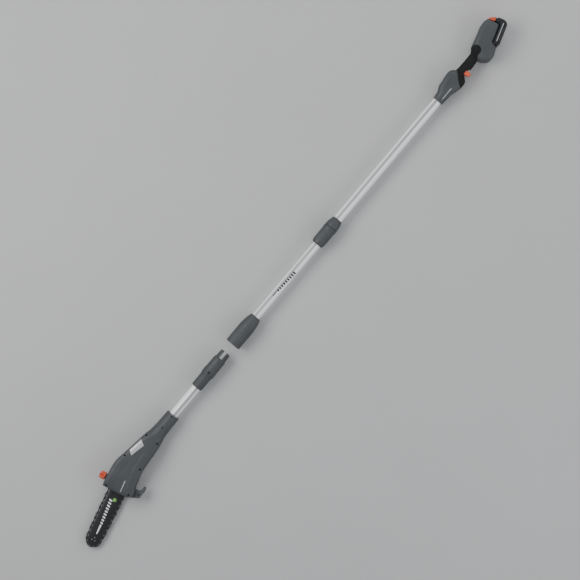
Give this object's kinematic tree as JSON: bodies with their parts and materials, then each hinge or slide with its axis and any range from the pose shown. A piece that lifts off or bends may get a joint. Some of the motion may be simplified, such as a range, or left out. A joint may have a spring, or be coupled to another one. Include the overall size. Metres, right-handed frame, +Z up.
{
  "type": "telescoping pole saw",
  "caption": "Cordless pole saw: battery handle with trigger, two-piece telescopic tube with twist locks, and plug-in saw head with motor, oiler, guide bar and chain.",
  "frame": {"origin": "on the floor under the middle of the tool's bounding box, with the tool lying on its right side", "axes": "+X along the pole towards the battery, +Y the tool's top side, +Z up, the tool's left side"},
  "size_m": [2.2767, 0.1592, 0.08],
  "materials": {
    "aluminium_tube": "drawn tube, satin",
    "grey_plastic": "moulded, fine texture",
    "black_plastic": "moulded, fine texture",
    "black_rubber": "soft overmould, ribbed",
    "orange_plastic": "moulded, satin",
    "cloudy_plastic": "natural, translucent",
    "steel": "ground steel",
    "black_steel": "blackened steel",
    "chain_steel": "hardened, oiled",
    "black_paint": "baked coating",
    "cast_alloy": "die cast",
    "silver_plate": "silver, satin",
    "brass": "plain",
    "copper_winding": "enamelled",
    "board": "solder mask",
    "cell_wrap": "shrink film"
  },
  "bodies": {
    "handle": {"outer_tube": "aluminium_tube", "collar_body": "grey_plastic", "clamp_collet": "cloudy_plastic", "handle_shell_left": "grey_plastic", "handle_shell_right": "grey_plastic", "grip_overmould": "black_rubber", "switch_module": "black_plastic", "control_board": "board", "terminal_block": "brass", "handle_wiring": "black_rubber", "handle_screws": "black_steel", "trigger_pin": "steel", "trigger_spring": "steel", "coil_cord": "black_rubber"},
    "trigger": {"trigger": "orange_plastic"},
    "lock_off_button": {"lock_off_button": "orange_plastic"},
    "locking_collar": {"locking_collar": "grey_plastic"},
    "inner_pole": {"inner_tube": "aluminium_tube", "inner_tube_bush": "black_plastic", "pole_socket": "black_plastic", "socket_contacts": "brass"},
    "coupling_sleeve": {"coupling_sleeve": "grey_plastic"},
    "saw_head": {"head_spigot": "grey_plastic", "spigot_contacts": "brass", "spigot_screw": "black_steel", "head_tube": "aluminium_tube", "head_cable": "black_rubber", "head_shell_left": "grey_plastic", "head_shell_right": "grey_plastic", "side_plate": "silver_plate", "head_screws": "black_steel", "motor_can": "steel", "gear_housing": "cast_alloy", "shaft_bearings": "steel", "oil_tank": "cloudy_plastic", "oil_pump": "black_plastic", "oil_line": "cloudy_plastic", "bumper_teeth": "black_steel", "bar_stud": "steel", "chain_catcher": "cast_alloy", "sprocket_cover": "grey_plastic"},
    "oil_cap": {"oil_cap": "orange_plastic", "oil_cap_seal": "black_rubber"},
    "motor_rotor": {"motor_shaft": "steel", "rotor_core": "copper_winding"},
    "drive": {"drive_shaft": "steel", "crown_gear": "steel", "drive_sprocket": "steel"},
    "guide_bar": {"guide_bar": "black_paint", "saw_chain": "chain_steel", "tension_block": "steel"},
    "nose_sprocket": {"nose_sprocket": "steel"},
    "tension_screw": {"tension_screw": "steel"},
    "bar_nut": {"bar_nut": "steel"},
    "battery": {"battery_case": "black_plastic", "battery_cells": "cell_wrap", "battery_contacts": "brass", "latch_spring": "steel"},
    "battery_latch": {"battery_latch": "orange_plastic"}
  },
  "joints": [
    {"name": "pole_telescope", "type": "slide", "parent": "handle", "child": "inner_pole", "axis": [-1, 0, 0], "range_m": [-0.31, 0.19], "deforming": ["coil_cord"]},
    {"name": "collar_twist", "type": "hinge", "parent": "handle", "child": "locking_collar", "pos_m": [0.1895, 0.0157, 0.04], "axis": [1, 0, 0], "range_deg": [0, 60]},
    {"name": "trigger_pull", "type": "hinge", "parent": "handle", "child": "trigger", "pos_m": [0.9155, 0.0187, 0.04], "axis": [0, 0, 1], "range_deg": [0, 12], "stiffness_Nm_per_rad": 0.6, "deforming": ["trigger_spring"]},
    {"name": "lock_off_press", "type": "slide", "parent": "handle", "child": "lock_off_button", "axis": [0, 0, 1], "range_m": [0, 0.003], "stiffness_N_per_m": 300},
    {"name": "sleeve_twist", "type": "hinge", "parent": "inner_pole", "child": "coupling_sleeve", "pos_m": [-0.2325, 0.0157, 0.04], "axis": [1, 0, 0], "range_deg": [0, 120]},
    {"name": "head_coupling", "type": "slide", "parent": "inner_pole", "child": "saw_head", "axis": [1, 0, 0], "range_m": [0, 0.13]},
    {"name": "oil_cap_twist", "type": "hinge", "parent": "saw_head", "child": "oil_cap", "pos_m": [-0.9125, 0.0557, 0.046], "axis": [-0.2079, 0.9781, 0], "range_deg": [0, 120]},
    {"name": "motor_spin", "type": "hinge", "parent": "saw_head", "child": "motor_rotor", "pos_m": [-0.7725, 0.0117, 0.0442], "axis": [1, 0, 0], "continuous": true},
    {"name": "drive_spin", "type": "hinge", "parent": "saw_head", "child": "drive", "pos_m": [-0.8595, 0.0117, 0.04], "axis": [0, 0, 1], "continuous": true},
    {"name": "bar_tension", "type": "slide", "parent": "saw_head", "child": "guide_bar", "axis": [-0.9703, -0.2419, 0], "range_m": [0, 0.003]},
    {"name": "nose_spin", "type": "hinge", "parent": "guide_bar", "child": "nose_sprocket", "pos_m": [-1.10741, -0.05011, 0.016], "axis": [0, 0, 1], "continuous": true},
    {"name": "tension_screw_turn", "type": "hinge", "parent": "saw_head", "child": "tension_screw", "pos_m": [-0.91118, -0.01664, 0.03], "axis": [-0.9703, -0.2419, 0], "range_deg": [0, 1080]},
    {"name": "bar_nut_turn", "type": "hinge", "parent": "saw_head", "child": "bar_nut", "pos_m": [-0.90995, -0.00088, 0.005], "axis": [0, 0, 1], "range_deg": [0, 720]},
    {"name": "battery_slide", "type": "slide", "parent": "handle", "child": "battery", "axis": [0.9489, 0.3156, 0], "range_m": [0, 0.085]},
    {"name": "battery_latch_press", "type": "slide", "parent": "battery", "child": "battery_latch", "axis": [0.3156, -0.9489, 0], "range_m": [0, 0.004], "stiffness_N_per_m": 500, "deforming": ["latch_spring"]}
  ],
  "couplings": [
    {"joint": "drive_spin", "follows": "motor_spin", "ratio": 0.2},
    {"joint": "nose_spin", "follows": "motor_spin", "ratio": 0.10909}
  ]
}
